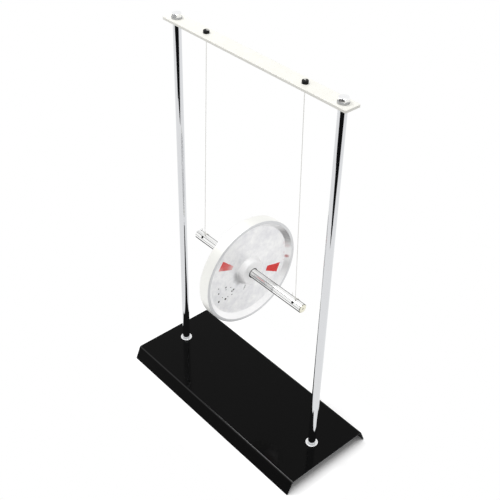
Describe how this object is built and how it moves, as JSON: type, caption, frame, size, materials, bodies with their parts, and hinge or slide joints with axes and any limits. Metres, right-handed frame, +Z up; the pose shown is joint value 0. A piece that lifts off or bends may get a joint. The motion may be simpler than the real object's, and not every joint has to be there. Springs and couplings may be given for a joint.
{
  "type": "maxwell wheel",
  "caption": "Maxwell wheel: a cast rimmed disc on a steel axle, hung by strings from a bar on chrome posts over a bent sheet base; the wheel winds up its strings and unrolls.",
  "frame": {"origin": "centre of the base at table level", "axes": "+X along the bar and the axle, +Y across the base away from the marked face's viewer, +Z up"},
  "size_m": [0.3, 0.133, 0.4853],
  "materials": {
    "black_enamel": "stoved gloss black enamel",
    "chrome": "bright chrome plate",
    "ivory_paint": "semi-gloss ivory paint",
    "zinc_plate": "bright zinc plate",
    "black_nylon": "moulded black nylon",
    "white_thread": "twisted thread",
    "cast_aluminium": "cast web with a turned rim",
    "bright_steel": "bright drawn rod",
    "red_paint": "brushed red enamel"
  },
  "bodies": {
    "stand": {"base_plate": "black_enamel", "left_post": "chrome", "right_post": "chrome", "left_foot_collar": "zinc_plate", "right_foot_collar": "zinc_plate", "left_foot_washer": "zinc_plate", "right_foot_washer": "zinc_plate", "left_foot_nut": "zinc_plate", "right_foot_nut": "zinc_plate", "top_bar": "ivory_paint", "left_bolt": "zinc_plate", "right_bolt": "zinc_plate", "left_bolt_washer": "zinc_plate", "right_bolt_washer": "zinc_plate", "left_string_screw": "black_nylon", "right_string_screw": "black_nylon", "left_screw_nut": "zinc_plate", "right_screw_nut": "zinc_plate", "left_stopper_knot": "white_thread", "right_stopper_knot": "white_thread"},
    "strings": {"left_string": "white_thread", "right_string": "white_thread"},
    "knots": {"left_knot": "white_thread", "right_knot": "white_thread"},
    "wheel": {"wheel_disc": "cast_aluminium", "axle": "bright_steel", "left_sling": "white_thread", "right_sling": "white_thread", "left_red_mark": "red_paint", "right_red_mark": "red_paint"}
  },
  "joints": [
    {"name": "wheel_sway", "type": "hinge", "parent": "stand", "child": "strings", "pos_m": [0, 0, 0.472], "axis": [1, 0, 0], "range_deg": [-15, 15]},
    {"name": "wheel_lift", "type": "slide", "parent": "strings", "child": "knots", "axis": [0, 0, 1], "range_m": [0, 0.178], "deforming": ["left_string", "right_string"]},
    {"name": "wheel_spin", "type": "hinge", "parent": "knots", "child": "wheel", "pos_m": [0, 0, 0.2127], "axis": [1, 0, 0], "range_deg": [0, 1714]}
  ],
  "couplings": [
    {"joint": "wheel_lift", "follows": "wheel_spin", "m_per_rad": 0.00595}
  ]
}
